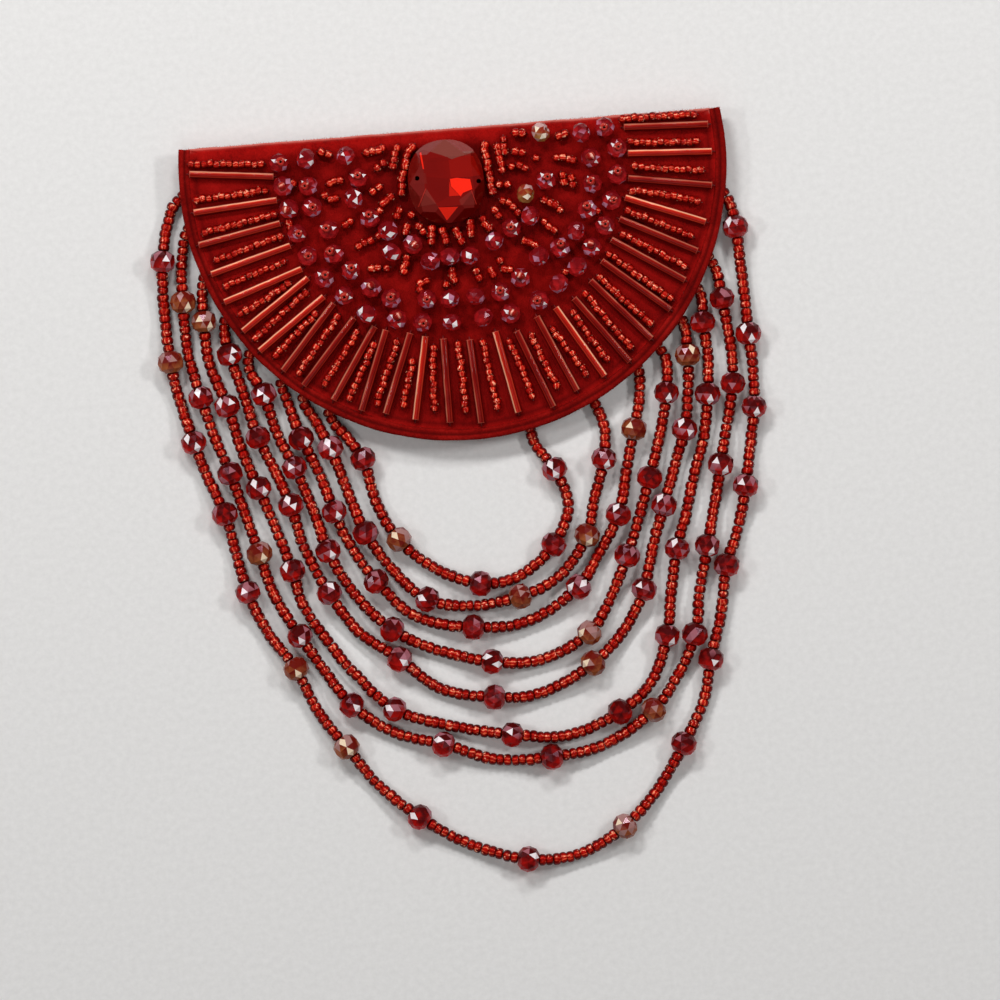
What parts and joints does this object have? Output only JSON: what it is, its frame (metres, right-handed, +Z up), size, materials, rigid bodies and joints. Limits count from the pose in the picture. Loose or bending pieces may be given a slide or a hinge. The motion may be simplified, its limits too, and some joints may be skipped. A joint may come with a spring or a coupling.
{
  "type": "beaded epaulette",
  "caption": "Half-moon felt shoulder ornament, embroidered with bugle beads, seed beads, crystals and a faceted centre stone, with strings of beads hanging in swags below it.",
  "frame": {"origin": "on the surface it lies on, under the middle of its outline, with the beaded face up", "axes": "+X along the straight top edge to the wearer's right as seen in the picture, +Y from the swags to the top edge, +Z up out of the beaded face"},
  "size_m": [0.1437, 0.1776, 0.0122],
  "materials": {
    "backing": "thick red wool felt",
    "face_cloth": "red felt",
    "edging": "rolled red felt",
    "stone": "cut and polished, dark red",
    "bugle_glass": "red glass tube with a silver lining",
    "seed_glass": "small red glass seeds with a silver lining",
    "crystal_glass": "cut red crystal with a lilac sheen",
    "string_glass": "red glass seeds and faceted rondelles with a lilac sheen"
  },
  "bodies": {
    "root": {"backing_felt": "backing", "face_cloth": "face_cloth", "rolled_edge": "edging", "centre_stone": "stone", "seed_rays": "seed_glass", "seed_sprays": "seed_glass", "crystals_outer": "crystal_glass", "crystals_middle": "crystal_glass", "crystals_inner": "crystal_glass", "bugle_01": "bugle_glass", "bugle_02": "bugle_glass", "bugle_03": "bugle_glass", "bugle_04": "bugle_glass", "bugle_05": "bugle_glass", "bugle_06": "bugle_glass", "bugle_07": "bugle_glass", "bugle_08": "bugle_glass", "bugle_09": "bugle_glass", "bugle_10": "bugle_glass", "bugle_11": "bugle_glass", "bugle_12": "bugle_glass", "bugle_13": "bugle_glass", "bugle_14": "bugle_glass", "bugle_15": "bugle_glass", "bugle_16": "bugle_glass", "bugle_17": "bugle_glass", "bugle_18": "bugle_glass", "bugle_19": "bugle_glass", "bugle_20": "bugle_glass", "bugle_21": "bugle_glass", "bugle_22": "bugle_glass", "bugle_23": "bugle_glass", "bugle_24": "bugle_glass", "bugle_25": "bugle_glass", "bugle_26": "bugle_glass", "bugle_27": "bugle_glass", "bugle_28": "bugle_glass", "strand_1": "string_glass", "strand_2": "string_glass", "strand_3": "string_glass", "strand_4": "string_glass", "strand_5": "string_glass", "strand_6": "string_glass", "strand_7": "string_glass", "strand_8": "string_glass"}
  },
  "joints": []
}
